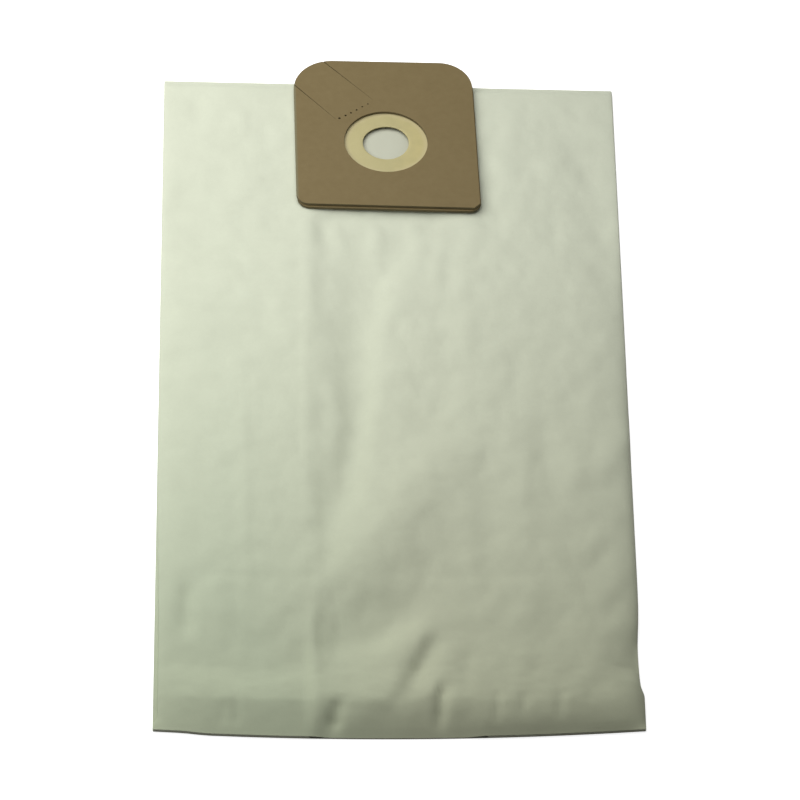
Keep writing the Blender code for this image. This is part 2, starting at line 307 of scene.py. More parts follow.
# %% Sizes of the fleece
STACK = 4.4 * MM
FOLD_RADIUS = 1.0 * MM
SLOT = 0.4 * MM
WELD_STACK = 2.4 * MM
WELD_MIDDLE = 1.1 * MM
WELD_MIDDLE_EASE = 14.0 * MM
WELD_WIDTH = 6.0 * MM
WELD_EASE = 4.0 * MM
LOW_WELD_EASE = 2.5 * MM
BAG_LENGTH = 558.0 * MM
LEFT_GUSSET = -54.3 * MM
RIGHT_GUSSET_TOP = 47.5 * MM
RIGHT_GUSSET_LOW = 54.0 * MM
GUSSET_JOG = 310.0 * MM
GUSSET_JOG_LENGTH = 30.0 * MM
bag_top = bag_high.y
print("The bag's top edge lies at y =", round(bag_top / MM, 1), "mm")


def ease(value):
    """Rises smoothly from 0 to 1 while value does. It takes numbers and arrays."""
    value = np.clip(value, 0.0, 1.0)
    return value * value * (3.0 - 2.0 * value)


# %% [markdown]
# The outline was measured on the photograph. The lower edge is bowed and a little shorter at the right.
# The right edge pulls in above the lower weld, where the bag is full, and jumps out again at the corner.
# At the left the back pair of plies peeps out beside the front pair, more and more towards the lower end.

# %% The bag's outline
# The lower edge is a parabola: its lowest point, where that lies across, and its bow for each metre squared
LOWER_EDGE = 557.2 * MM
LOWER_EDGE_PLACE = -55.0 * MM
LOWER_EDGE_BOW = 0.244
LEFT_CORNER_SHORT = 1.1 * MM
LEFT_CORNER_FROM = -115.0 * MM
LEFT_CORNER_WIDTH = 20.0 * MM
SIDE = 150.4 * MM
RIGHT_PULL = 1.8 * MM
RIGHT_PULL_PLACE = 498.0 * MM
RIGHT_PULL_ABOVE = 26.0 * MM
RIGHT_PULL_BELOW = 40.0 * MM
RIGHT_CORNER_FROM = 524.0 * MM
RIGHT_CORNER_LENGTH = 9.0 * MM
RIGHT_CORNER_FLARE = 1.0 * MM
LEFT_PEEP = 2.6 * MM
LEFT_PEEP_FROM = 340.0 * MM
LEFT_PEEP_FULL = 500.0 * MM
LEFT_PEEP_END = 548.0 * MM
LEFT_PEEP_END_LENGTH = 8.0 * MM


def lower_edge(x):
    """How far below the top edge the bag ends, for each place across."""
    corner = LEFT_CORNER_SHORT * ease((LEFT_CORNER_FROM - x) / LEFT_CORNER_WIDTH)
    return LOWER_EDGE - LOWER_EDGE_BOW * (x - LOWER_EDGE_PLACE) ** 2 - corner


def side_reaches(down):
    """Where the section ends: the back pair and the front pair at the left, and both at the right."""
    reach = np.where(down < RIGHT_PULL_PLACE, RIGHT_PULL_ABOVE, RIGHT_PULL_BELOW)
    pull = RIGHT_PULL * np.exp(-(((down - RIGHT_PULL_PLACE) / reach) ** 2))
    corner = ease((down - RIGHT_CORNER_FROM) / RIGHT_CORNER_LENGTH)
    right = SIDE - pull * (1 - corner) + RIGHT_CORNER_FLARE * corner
    peep = LEFT_PEEP * ease((down - LEFT_PEEP_FROM) / (LEFT_PEEP_FULL - LEFT_PEEP_FROM))
    peep = peep * (1.0 - ease((down - LEFT_PEEP_END) / LEFT_PEEP_END_LENGTH))
    return -SIDE, peep - SIDE, right


def right_gusset(down):
    shift = ease((down - GUSSET_JOG) / GUSSET_JOG_LENGTH)
    return RIGHT_GUSSET_TOP + (RIGHT_GUSSET_LOW - RIGHT_GUSSET_TOP) * shift


print("The lower edge is", round((lower_edge(0.0) - lower_edge(SIDE)) / MM, 1), "mm higher at the right")

# %% [markdown]
# Each fold at a side is a half circle of a few columns, and each slot between two plies ends in a small
# one, as folded cloth does. The columns are closest together across the front, which shows fine relief.

# %% The tube's section
BACK_COLUMNS = 22
FOLD_COLUMNS = 5
GUSSET_COLUMNS = 9
SLOT_COLUMNS = 3
FRONT_COLUMNS = 116


def run(start, end, count):
    """Evenly spaced values after start, up to and including end."""
    return [start + (end - start) * (i + 1) / count for i in range(count)]


def side_section(reach_low, reach_high, nose, sign):
    """One side of the section, from the back up to the front, as (place across, level) pairs."""
    level = FOLD_RADIUS / STACK
    gap = SLOT / 2 / STACK
    points = []
    for angle in run(-90, 90, FOLD_COLUMNS):
        turn = math.radians(angle)
        across = reach_low - sign * FOLD_RADIUS * (1 - math.cos(turn))
        points.append((across, level * (1 + math.sin(turn))))
    start = reach_low - sign * FOLD_RADIUS
    end = nose + sign * FOLD_RADIUS
    points += [(x, 2 * level) for x in run(start, end, GUSSET_COLUMNS)]
    for angle in run(-90, 90, SLOT_COLUMNS):
        turn = math.radians(angle)
        points.append((end - sign * SLOT / 2 * math.cos(turn), 0.5 + gap * math.sin(turn)))
    start = reach_high - sign * FOLD_RADIUS
    points += [(x, 1 - 2 * level) for x in run(end, start, GUSSET_COLUMNS)]
    for angle in run(-90, 90, FOLD_COLUMNS):
        turn = math.radians(angle)
        across = reach_high - sign * FOLD_RADIUS * (1 - math.cos(turn))
        points.append((across, 1 - level + level * math.sin(turn)))
    return points


def section(down):
    """Once round the tube, from the middle of the back to the right, over the front and back again."""
    left_low, left_high, right = side_reaches(down)
    points = [(0.0, 0.0)]
    points += [(x, 0.0) for x in run(0.0, right - FOLD_RADIUS, BACK_COLUMNS)]
    points += side_section(right, right, right_gusset(down), 1)
    points += [(x, 1.0) for x in run(right - FOLD_RADIUS, left_high + FOLD_RADIUS, FRONT_COLUMNS)]
    left = side_section(left_low, left_high, LEFT_GUSSET, -1)
    back_start = (left_low + FOLD_RADIUS, 0.0)
    points += list(reversed(left))[1:] + [back_start]
    points += [(x, 0.0) for x in run(back_start[0], 0.0, BACK_COLUMNS)]
    return points


print("Once round the tube is", len(section(0.2)) - 1, "columns")

# %% [markdown]
# The front's relief. Light shows cloth by its slopes, so each fold is written as a ridge or a groove along
# a line. A station on that line says where it is, how high the fold stands there, how far it reaches on
# the side that faces the lamp and how far on the other side. A billow fades away softly, and a pressed
# crease has a sharp line. Places are in millimetres, across from the centre line and down from the top.

# %% Folds and creases
BILLOW = 2.0
CREASE = 1.15

# Each station is (across, down, height, reach towards the lamp, reach away from it)
DIAGONAL_RIDGE = (
    (60, 296, 0.0, 14, 22),
    (46, 318, 0.5, 16, 26),
    (30, 340, 2.0, 18, 26),
    (8, 368, 5.0, 26, 23),
    (-8, 402, 6.7, 29, 25),
    (-27, 430, 5.2, 27, 29),
    (-50, 448, 0.6, 16, 26),
)
CROSS_VALLEY = (
    (-56, 484, -1.0, 30, 12),
    (-38, 486, -4.7, 32, 14),
    (-22, 482, -5.0, 30, 15),
    (0, 466, -3.4, 22, 14),
    (22, 442, 0.0, 12, 12),
)
LOWER_RIDGE = (
    (-8, 533, 1.0, 20, 6),
    (-3, 522, 3.2, 22, 8),
    (6, 503, 3.8, 18, 8),
    (17, 477, 2.0, 12, 8),
    (24, 462, 0.0, 10, 8),
)
LOWER_GROOVE = ((26, 480, 0.0, 5, 5), (19, 492, -1.6, 6, 6), (11, 510, -2.0, 6, 6), (4, 530, 0.0, 5, 5))
SECOND_RIDGE = ((44, 482, 0.0, 9, 10), (36, 496, 1.6, 10, 14), (27, 514, 2.6, 9, 12), (20, 528, 1.4, 8, 5))
MIDDLE_BILLOWS = (DIAGONAL_RIDGE, CROSS_VALLEY, LOWER_RIDGE, LOWER_GROOVE, SECOND_RIDGE)
PANEL_BILLOWS = (
    ((58, 318, 0.0, 8, 9), (57, 350, -0.9, 8, 11), (58, 405, -1.0, 8, 11), (60, 440, 0.0, 8, 9)),
    ((84, 292, 0.0, 10, 8), (83, 320, 0.9, 11, 9), (82, 370, 0.7, 11, 9), (80, 410, 0.0, 10, 8)),
    (
        (118, 20, 0.0, 12, 8),
        (127, 60, -1.1, 13, 9),
        (134, 100, -1.3, 14, 9),
        (139, 150, -1.2, 12, 8),
        (141, 210, 0.0, 9, 8),
    ),
    ((154, 474, 0.0, 12, 6), (151, 492, -2.6, 16, 8), (148, 512, -3.6, 17, 8), (146, 524, 0.0, 14, 6)),
    ((156, 308, 1.3, 12, 8), (140, 334, 1.4, 12, 9), (122, 362, 0.0, 10, 8)),
    ((-156, 118, 1.4, 12, 9), (-140, 94, 1.2, 12, 9), (-126, 72, 0.0, 10, 8)),
    (
        (58, 10, 0.0, 7, 8),
        (62, 60, -0.8, 8, 9),
        (64, 100, -1.9, 9, 11),
        (66, 124, -1.6, 10, 12),
        (64, 146, 0.0, 9, 9),
    ),
    ((-58, 122, 0.0, 7, 9), (-30, 124, -1.1, 7, 10), (20, 122, -1.5, 7, 10), (62, 120, -1.2, 7, 10)),
    ((-67, 0, -0.3, 16, 8), (-67, 60, -0.5, 16, 8), (-72, 122, -1.3, 18, 10), (-90, 140, 0.0, 12, 8)),
    ((78, 430, 0.0, 10, 9), (78, 466, 1.1, 18, 10), (78, 500, 0.9, 18, 10), (78, 520, 0.0, 9, 9)),
)

# Short folds fade away at both ends: (across and down where they start, the same where they end,
# height, reach)
SHORT_BILLOWS = (
    (-33, 112, -34, 172, 0.9, 6),
    (-11, 112, -8, 178, 1.1, 6),
    (14, 112, 18, 160, 0.9, 6),
    (36, 112, 34, 160, 0.8, 6),
    (31, 146, 30, 202, 0.8, 5),
    (6, 206, 1, 240, -1.1, 6),
    (29, 202, 28, 224, -0.6, 4),
    (20, 258, 13, 314, -0.6, 6),
    (30, 266, 24, 322, -0.6, 6),
    (84, 246, 72, 284, -0.9, 6),
    (110, 106, 107, 154, -1.2, 6),
    (-129, 436, -131, 490, -2.4, 6),
    (-112, 440, -110, 500, 0.8, 7),
    (96, 300, 94, 350, -1.0, 8),
    (118, 320, 112, 380, 0.8, 8),
    (150, 424, 116, 468, 0.4, 6),
    (150, 442, 118, 488, -0.4, 5),
    (138, 408, 110, 446, -0.4, 6),
    (-150, 250, -104, 262, -0.9, 9),
    (-70, 212, -128, 250, -0.9, 14),
    (-90, 20, -82, 66, -0.9, 8),
    (-126, 10, -130, 40, -1.0, 6),
    (84, 16, 78, 90, 0.7, 9),
    (104, 40, 112, 96, 0.6, 12),
)
SHORT_CREASES = (
    (-156, 158, -50, 158, -1.6, 5),
    (-150, 436, -40, 436, -0.7, 6),
    (-50, 435, 100, 435, -0.4, 5),
    (-95, 236, -95, 532, 0.55, 4),
    (-56.5, 100, -56.5, 532, 0.5, 2.6),
    (76, 306, 88, 490, 0.3, 5),
    (-64, 300, -63, 440, 0.3, 5),
)
PUCKERS = (
    (-35, 530, -42, 557, -3.0, 4.4),
    (28, 518, 24, 556, -2.6, 3.8),
    (61, 527, 59, 552, -1.0, 2.6),
    (77, 529, 75, 550, -0.6, 2.8),
    (100, 528, 98, 550, -0.9, 3.0),
    (-99, 528, -100, 554, -0.9, 2.6),
    (-107, 534, -108, 554, -0.8, 2.6),
)
# Each station of the trough is (down, left wall, its softness, right wall, its softness, depth)
TROUGH = (
    (118, -44, 8, 24, 8, 0.5),
    (150, -43, 8, 14, 7, 1.8),
    (165, -38, 12, 4, 7, 3.6),
    (185, -37, 12, -4, 7, 5.0),
    (210, -37, 11, -9, 7, 5.6),
    (240, -36, 9, -12, 6.5, 5.6),
    (275, -34, 7, -13.5, 6, 5.3),
    (305, -32, 6.5, -15.5, 6, 5.3),
    (335, -35, 7, -20, 7, 5.0),
    (365, -41, 6, -26, 8, 3.8),
    (395, -47, 6, -31, 9, 2.6),
    (430, -51, 6, -36, 9, 0.8),
    (450, -54, 6, -40, 9, 0.0),
)
all_tables = (MIDDLE_BILLOWS, PANEL_BILLOWS, SHORT_BILLOWS, SHORT_CREASES, PUCKERS)
print("The front has", sum(len(table) for table in all_tables), "folds and one trough")

# %% [markdown]
# The height of one fold at a place depends on the nearest point of its line: it is full on the line and
# fades with the distance from it. Between two stations all their numbers change evenly. The trough is a
# different kind of form, with a flat floor between two walls, so it has its own function.


# %% Height of a fold
FULL_FROM = 0.3
FULL_TO = 0.7
TINY = 1e-6


def short_fold(across_a, down_a, across_b, down_b, height, reach):
    """The stations of a straight fold that fades away at both ends."""
    stations = []
    for share, amount in ((0.0, 0.0), (FULL_FROM, height), (FULL_TO, height), (1.0, 0.0)):
        x = across_a + (across_b - across_a) * share
        stations.append((x, down_a + (down_b - down_a) * share, amount, reach, reach))
    return stations


def fold(stations, sharpness, x, down):
    """Height of one fold at each of many places."""
    nearest = np.full(x.shape, np.inf)
    relief = np.zeros(x.shape)
    for start, end in zip(stations, stations[1:]):
        along_x, along_y = end[0] - start[0], end[1] - start[1]
        length = math.hypot(along_x, along_y)
        away_x, away_y = along_y / length, -along_x / length
        if away_x + away_y < 0:
            away_x, away_y = -away_x, -away_y
        off_x, off_y = x - start[0], down - start[1]
        share = np.clip((off_x * along_x + off_y * along_y) / length**2, 0.0, 1.0)
        off_x = off_x - share * along_x
        off_y = off_y - share * along_y
        distance = np.hypot(off_x, off_y)
        side = (off_x * away_x + off_y * away_y) / np.maximum(distance, TINY)
        height, lit, shaded = (start[i] + (end[i] - start[i]) * share for i in (2, 3, 4))
        reach = (lit + shaded) / 2 + (shaded - lit) / 2 * side
        here = height * np.exp(-((distance / reach) ** sharpness))
        relief = np.where(distance < nearest, here, relief)
        nearest = np.minimum(distance, nearest)
    return relief


def trough(x, down):
    """Depth of the trough that runs down the left of the middle panel."""
    left, soft_left, right, soft_right, depth = (
        np.interp(down, [station[0] for station in TROUGH], [station[i] for station in TROUGH])
        for i in range(1, 6)
    )
    past_left = 0.5 + 0.5 * np.tanh((x - left) / soft_left)
    past_right = 0.5 + 0.5 * np.tanh((x - right) / soft_right)
    return depth * past_left * (1 - past_right)


print("The trough is up to", max(station[5] for station in TROUGH), "mm deep")

# %% [markdown]
# The whole height of the front is a sum. The stack of plies is the start. The bag is a little full, most of
# all above its lower weld, and the middle panel lies lower, because it has no gusset inside. The folds
# come next, then the fleece's own soft dimples, the slope down to the weld, its puckers and the rounded
# sides. Many of these rise or fall over a stretch: such a stretch is written as its start and its length,
# and the length is negative where the rise goes towards smaller numbers.

# %% Height of the front
HALF_WIDTH = 151.0
LEFT_ROUNDNESS = 10
RIGHT_ROUNDNESS = 18
FILL = 3.3
FILL_RISE = (125, 80)
MIDDLE_SUNK = 1.1
SUNK_AT_COLLAR = 1.1
SUNK_AT_COLLAR_END = (135, 45)
COLLAR_FOOT = (110, 16)
CRISP_STEP_END = (300, 30)
LEFT_STEP = (-54.5, 12)
RIGHT_STEP = (49, -16)
RIGHT_SOFT_STEP = (-44, 98)
TROUGH_START = (-55, 7)
BILLOWS_START = (-55, 6)
LEFT_PANEL = (-50, -8)
LEFT_CORNER = (-112, -30)
RIGHT_PANEL = (38, 16)
RIGHT_CORNER = (95, 35)
# Each of the next three is an amount for the whole bag, and what the left panel, the left corner, the
# right panel and the right corner add to it
END_FULLNESS = (3.8, -2.8, -0.9, -0.4, -1.2)
END_RISE_LENGTH = (28, -6, 0, 32, 50)
END_ROUNDNESS = (1.6, -0.5, 0, 0.35, 0.5)
CREST = 534.5
LEFT_DIP = 505.0
LEFT_DIP_DEPTH = 3.5
LEFT_DIP_ABOVE = 40
LEFT_DIP_BELOW = 14
# Dimples are (width, length, height, layer of the noise)
WIDE_DIMPLES = (13, 17, 0.66, 0.0)
FINE_DIMPLES = (5, 6, 0.28, 9.0)
DIMPLES_START = (0, 20)
DIMPLES_AT_SIDES = 0.35
PRESSED_HALF_WIDTH = (64, -6)
PRESSED_LENGTH = (120, -8)
PRESSED_SHARE = 0.8
LEFT_DROP = 1.5
LEFT_DROP_REACH = 2.6
RIGHT_DROP = 1.2
RIGHT_DROP_REACH = 1.7
DROP_START = (220, 100)
COLLAR_ACROSS = -2.5


def stretch(value, start, length):
    """0 before start, rising smoothly to 1 over length."""
    return ease((value - start) / length)


def panel_shares(x):
    """How far a place belongs to the whole bag, the left panel and corner, and the right ones."""
    panels = (LEFT_PANEL, LEFT_CORNER, RIGHT_PANEL, RIGHT_CORNER)
    return (1.0,) + tuple(stretch(x, *panel) for panel in panels)


def by_panel(amounts, shares):
    """An amount that differs from panel to panel, and changes smoothly between them."""
    return sum(amount * share for amount, share in zip(amounts, shares))


def dimples(x, down, wide, long, height, layer):
    """The fleece's own soft dimples, which have no order."""
    values = [noise.noise(Vector((a / wide, b / long, layer))) for a, b in zip(x, down)]
    return height * np.array(values)


def sunk_middle(x, down):
    """How far the middle panel lies below those at its sides, which have the gussets inside."""
    crisp = 1 - stretch(down, *CRISP_STEP_END)
    right = stretch(x, *RIGHT_STEP) * crisp + (1 - stretch(x, *RIGHT_SOFT_STEP)) * (1 - crisp)
    depth = MIDDLE_SUNK + SUNK_AT_COLLAR * (1 - stretch(down, *SUNK_AT_COLLAR_END))
    return depth * stretch(down, *COLLAR_FOOT) * stretch(x, *LEFT_STEP) * right


def all_folds(x, down):
    """The trough, the billows and the creases together, without the puckers of the weld."""
    relief = -trough(x, down) * stretch(x, *TROUGH_START)
    for stations in MIDDLE_BILLOWS:
        relief += fold(stations, BILLOW, x, down) * stretch(x, *BILLOWS_START)
    for stations in PANEL_BILLOWS:
        relief += fold(stations, BILLOW, x, down)
    for short in SHORT_BILLOWS:
        relief += fold(short_fold(*short), BILLOW, x, down)
    for short in SHORT_CREASES:
        relief += fold(short_fold(*short), CREASE, x, down)
    return relief


def end_fullness(x, down):
    """The bag is full above its lower weld, apart from a dip in the left panel."""
    shares = panel_shares(x)
    rise = 1 - ease((CREST - down) / by_panel(END_RISE_LENGTH, shares))
    reach = np.where(down < LEFT_DIP, LEFT_DIP_ABOVE, LEFT_DIP_BELOW)
    dip = LEFT_DIP_DEPTH * shares[1] * np.exp(-(((down - LEFT_DIP) / reach) ** 2))
    return by_panel(END_FULLNESS, shares) * rise - dip


def rounded_sides(x, down):
    """How far the front ply falls as it bends round the folds at both sides."""
    _, left, right = (reach / MM for reach in side_reaches(down * MM))
    from_left, from_right = np.maximum(x - left, 0.0), np.maximum(right - x, 0.0)
    lower_part = stretch(down, *DROP_START)
    drop = LEFT_DROP * (0.5 + 0.5 * lower_part) * np.exp(-from_left / LEFT_DROP_REACH)
    return drop + RIGHT_DROP * lower_part * np.exp(-from_right / RIGHT_DROP_REACH)


def front_height(x, down, welded):
    """Height of the front ply in millimetres, at places in millimetres. It never falls below welded."""
    roundness = np.where(x < 0, LEFT_ROUNDNESS, RIGHT_ROUNDNESS)
    inside = 1 - np.clip(np.abs(x) / HALF_WIDTH, 0, 1) ** roundness
    height = STACK / MM + FILL * stretch(down, *FILL_RISE) * inside
    height += all_folds(x, down) - sunk_middle(x, down) + end_fullness(x, down) * inside
    pressed = stretch(np.abs(x - COLLAR_ACROSS), *PRESSED_HALF_WIDTH) * stretch(down, *PRESSED_LENGTH)
    free = np.minimum(stretch(down, *DIMPLES_START), DIMPLES_AT_SIDES + (1 - DIMPLES_AT_SIDES) * inside)
    uneven = dimples(x, down, *WIDE_DIMPLES) + dimples(x, down, *FINE_DIMPLES)
    height += uneven * free * (1 - PRESSED_SHARE * pressed)
    past = np.clip((down - CREST) / (BAG_LENGTH / MM - CREST), 0.0, 1.0)
    height += (welded - height) * past ** by_panel(END_ROUNDNESS, panel_shares(x))
    for short in PUCKERS:
        height += fold(short_fold(*short), BILLOW, x, down)
    return np.maximum(height - rounded_sides(x, down), welded)


def weld_share(down):
    """1 in the welded strip at each end and 0 in the bag between them, for places down the sheet."""
    top = 1 - stretch(down, WELD_WIDTH - WELD_EASE, WELD_EASE)
    low = stretch(down, BAG_LENGTH - LOW_WELD_EASE, LOW_WELD_EASE)
    return np.maximum(top, low)


middle_front = front_height(np.array([0.0]), np.array([400.0]), 0.0)[0]
print("In the middle, 400 mm down, the front lies", round(middle_front, 1), "mm up")


# %% [markdown]
# The fleece itself starts as a flat grid as wide as the tube is round. Its points are then moved on to
# the folded section, row by row, and the two long edges are merged, as the real sheet is glued into a
# tube. Moving the points by a rule keeps every crease where it was measured, which a cloth simulation
# would not. A Solidify modifier then gives the fleece its real thickness.


# %% Fold the sheet into the bag
def deselect_all():
    for one in bpy.context.selected_objects:
        one.select_set(False)


def make_active(piece):
    deselect_all()
    piece.select_set(True)
    bpy.context.view_layer.objects.active = piece


def edit_mode(on):
    bpy.ops.object.mode_set(mode="EDIT" if on else "OBJECT")


def apply_all(piece):
    make_active(piece)
    for modifier in list(piece.modifiers):
        bpy.ops.object.modifier_apply(modifier=modifier.name)


WELD_ROWS = 3
MIDDLE_ROWS = 174
LOW_ROWS = 34
LOW_ROWS_FROM = 500.0 * MM
LOW_ROWS_TO = 552.0 * MM
MERGE_REACH = 0.001 * MM


def rows():
    """Places down the sheet: close together at the welds and at the lower end, wider apart between."""
    places = [0.0] + run(0.0, WELD_WIDTH, WELD_ROWS)
    places += run(WELD_WIDTH, LOW_ROWS_FROM, MIDDLE_ROWS)
    places += run(LOW_ROWS_FROM, LOW_ROWS_TO, LOW_ROWS)
    return np.array(places + run(LOW_ROWS_TO, BAG_LENGTH, WELD_ROWS))


row_places = rows()
row_count = len(row_places) - 1
deselect_all()
column_count = len(section(0.0)) - 1
bpy.ops.mesh.primitive_grid_add(x_subdivisions=column_count, y_subdivisions=row_count, size=1.0)
bag = bpy.context.object
bag.name = "fleece_bag"
count = len(bag.data.vertices)
flat = np.empty(count * 3)
bag.data.vertices.foreach_get("co", flat)
flat = flat.reshape(-1, 3)
column = np.rint((flat[:, 0] + 0.5) * column_count).astype(int)
row = np.rint((0.5 - flat[:, 1]) * row_count).astype(int)
sections = np.array([section(down) for down in row_places])
across = sections[row, column, 0]
level = sections[row, column, 1]
sheet_down = row_places[row]
down = sheet_down * lower_edge(across) / BAG_LENGTH
in_from_left = stretch(across, LEFT_GUSSET, WELD_MIDDLE_EASE)
in_from_right = stretch(across, right_gusset(down), -WELD_MIDDLE_EASE)
weld_height = WELD_STACK + (WELD_MIDDLE - WELD_STACK) * in_from_left * in_from_right
thickness = front_height(across / MM, sheet_down / MM, weld_height / MM) * MM
thickness = thickness + (weld_height - thickness) * weld_share(sheet_down)
placed = np.column_stack([across, bag_top - down, level * thickness])
bag.data.vertices.foreach_set("co", placed.ravel())
make_active(bag)
edit_mode(True)
bpy.ops.mesh.select_all(action="SELECT")
bpy.ops.mesh.remove_doubles(threshold=MERGE_REACH)
edit_mode(False)
height_mm = round(thickness.max() / MM, 1)
print("The folded sheet is", height_mm, "mm high, with", len(bag.data.polygons), "faces")

# %% [markdown]
# The port is cut in the front ply before the fleece gets its thickness: the faces inside the circle are
# deleted, and the ragged rim that they leave is moved on to the circle. The photograph shows the back ply
# close below the membrane, with a soft crease, so it is then pushed up there. Solidify thickens the sheet
# inwards, so the measured outside stays where it is. It keeps the old faces first and adds the inner ones
# after them, so their numbers tell which faces are the inner side. An attribute keeps that for the finish.

# %% Port and thickness
COLLAR_X = COLLAR_ACROSS * MM
PORT_Y = 212.4 * MM
PORT_RADIUS = 27.7 * MM
FRONT_PLY_FROM = 3.2 * MM
RIM_REACH = 4.0 * MM
CLOTH_THICKNESS = 0.58 * MM
BACK_LIFT_DOWN = 58.0 * MM
BACK_LIFT = 4.6 * MM
BACK_LIFT_REACH = 23.0 * MM
BACK_LIFT_FLATNESS = 5
BACK_CREASE = 0.9 * MM
BACK_CREASE_WIDTH = 3.0 * MM
BACK_CREASE_LEFT = 2.0 * MM
BACK_CREASE_LEAN = 0.06
SOFT_ANGLE = math.radians(50)


def select_only(piece, vertices=(), faces=()):
    """Select these vertices or faces, given by number, and leave the piece in edit mode."""
    make_active(piece)
    edit_mode(True)
    bpy.context.tool_settings.mesh_select_mode = (not faces, False, bool(faces))
    bpy.ops.mesh.select_all(action="DESELECT")
    edit_mode(False)
    for number in vertices:
        piece.data.vertices[number].select = True
    for number in faces:
        piece.data.polygons[number].select = True
    edit_mode(True)


def from_port(point):
    return math.hypot(point.x - COLLAR_X, point.y - PORT_Y)


def cut_port(piece):
    inside = []
    for face in piece.data.polygons:
        if face.center.z > FRONT_PLY_FROM and from_port(face.center) < PORT_RADIUS:
            inside.append(face.index)
    select_only(piece, faces=inside)
    bpy.ops.mesh.delete(type="FACE")
    bpy.context.tool_settings.mesh_select_mode = (True, False, False)
    bpy.ops.mesh.select_non_manifold(extend=False)
    edit_mode(False)
    moved = 0
    for vertex in piece.data.vertices:
        distance = from_port(vertex.co)
        if vertex.select and distance < PORT_RADIUS + RIM_REACH:
            vertex.co.x = COLLAR_X + (vertex.co.x - COLLAR_X) * PORT_RADIUS / distance
            vertex.co.y = PORT_Y + (vertex.co.y - PORT_Y) * PORT_RADIUS / distance
            moved += 1
    return len(inside), moved


def back_lift(right, up):
    """How far the back ply is pushed up, at a place measured from the middle of the lifted patch."""
    dome = math.exp(-((math.hypot(right, up) / BACK_LIFT_REACH) ** BACK_LIFT_FLATNESS))
    off_crease = right + BACK_CREASE_LEFT - BACK_CREASE_LEAN * up
    crease = math.exp(-((off_crease / BACK_CREASE_WIDTH) ** 2))
    return dome * (BACK_LIFT - BACK_CREASE * crease)


def push_back_up(piece):
    """Lift the back ply under the port, where it has room now that the ply above it is open."""
    for vertex in piece.data.vertices:
        if vertex.co.z < CLOTH_THICKNESS / 2:
            vertex.co.z += back_lift(vertex.co.x - COLLAR_X, vertex.co.y - bag_top + BACK_LIFT_DOWN)


def face_outwards(piece):
    """Turn all faces over if the front ply faces down."""
    top = max(piece.data.polygons, key=lambda face: face.center.z)
    if top.normal.z < 0:
        make_active(piece)
        edit_mode(True)
        bpy.ops.mesh.select_all(action="SELECT")
        bpy.ops.mesh.flip_normals()
        edit_mode(False)


removed, rim_points = cut_port(bag)
push_back_up(bag)
face_outwards(bag)
cloth = bag.modifiers.new("thickness", "SOLIDIFY")
cloth.thickness = CLOTH_THICKNESS
cloth.offset = -1.0
outer_faces = len(bag.data.polygons)
apply_all(bag)
inner = bag.data.attributes.new("inner_side", "FLOAT", "FACE")
inner.data.foreach_set("value", [float(face.index >= outer_faces) for face in bag.data.polygons])
bpy.ops.object.shade_smooth_by_angle(angle=SOFT_ANGLE)
print("The port took", removed, "faces, and its rim has", rim_points, "points")

# %% [markdown]
# Felted fleece is a mat of short fibres with no weave. It shows as a cloudy density, thicker here and
# thinner there, with fibres that run every way. The clouds change the colour a little, the fibres give a
# fine bump, and a little sheen stands for the fibre ends that stick up. Down the bag a yellower tint is
# painted shade: it gives the dimmer lower end a deeper colour. The fleece's own tint is greener towards
# its lower left corner. Its inner side, which shows through the port, is painted darker and greyer as
# shade inside the bag.

# %% Fleece finish
FLEECE_PALE = (0.625, 0.657, 0.522, 1.0)
FLEECE_DEEP = (0.570, 0.598, 0.473, 1.0)
FLEECE_INSIDE_SHADE = (0.495, 0.503, 0.400, 1.0)
PAINTED_SHADE_YELLOW = (1.0, 1.0, 0.88, 1.0)
GREENER = (0.945, 1.0, 1.0, 1.0)


def fleece_finish():
    constants = {"Specular IOR Level": 0.25, "Sheen Weight": 0.08, "Sheen Roughness": 0.6}
    made = Finish("felted_fleece", constants)
    place = made.place()
    clouds = made.noise(place, scale=55.0, detail=3.0, roughness=0.55)
    specks = made.noise(place, scale=420.0, roughness=0.6)
    along = made.stretched((500.0, 2600.0, 900.0), math.radians(25))
    fibres = made.noise(along, detail=3.0, roughness=0.6, distortion=0.6)
    over = made.stretched((2400.0, 450.0, 900.0), math.radians(-15))
    crossed = made.noise(over, detail=3.0, roughness=0.6, distortion=0.6)
    mat = (fibres + crossed) * 0.5
    share = clouds * 1.1 + specks * 0.5 + mat * 0.6 - 0.6
    face = made.mix(share, FLEECE_DEEP, FLEECE_PALE)
    split = made.node("ShaderNodeSeparateXYZ", None, {0: place})
    down_share = (bag_top - split["Y"]) / BAG_LENGTH
    low = down_share * down_share
    left = made.steps(0.5 - split["X"] / (2 * SIDE), (0.45, 0.0), (0.85, 1.0))
    # painted shade: a yellower tint down the bag, towards its dimmer lower end
    face = made.mix(low, face, PAINTED_SHADE_YELLOW, "MULTIPLY")
    face = made.mix(left * low * 1.5, face, GREENER, "MULTIPLY")
    # painted shade: the inner side, seen through the port, is darker and greyer as shade inside the bag
    inner = made.node("ShaderNodeAttribute", {"attribute_name": "inner_side"})["Fac"]
    made.set("Base Color", made.mix(inner, face, FLEECE_INSIDE_SHADE))
    made.set("Roughness", 0.74 + 0.12 * mat)
    made.bump(mat + specks * 0.6, distance=0.06 * MM, strength=0.8)
    return made.material


bag.data.materials.append(fleece_finish())
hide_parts("filter_bag")
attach(bag, "root")
print("The fleece has", len(bag.data.polygons), "faces")

# %% [markdown]
# The collar is two kraft boards glued on each other. A board is a rectangle whose corners are rounded by a
# vertex bevel, raised to its thickness, and its sharp rim is softened a little, as a die presses it when
# it cuts. The port is then cut with a Boolean. The back board also gets a shallow seat for the membrane.

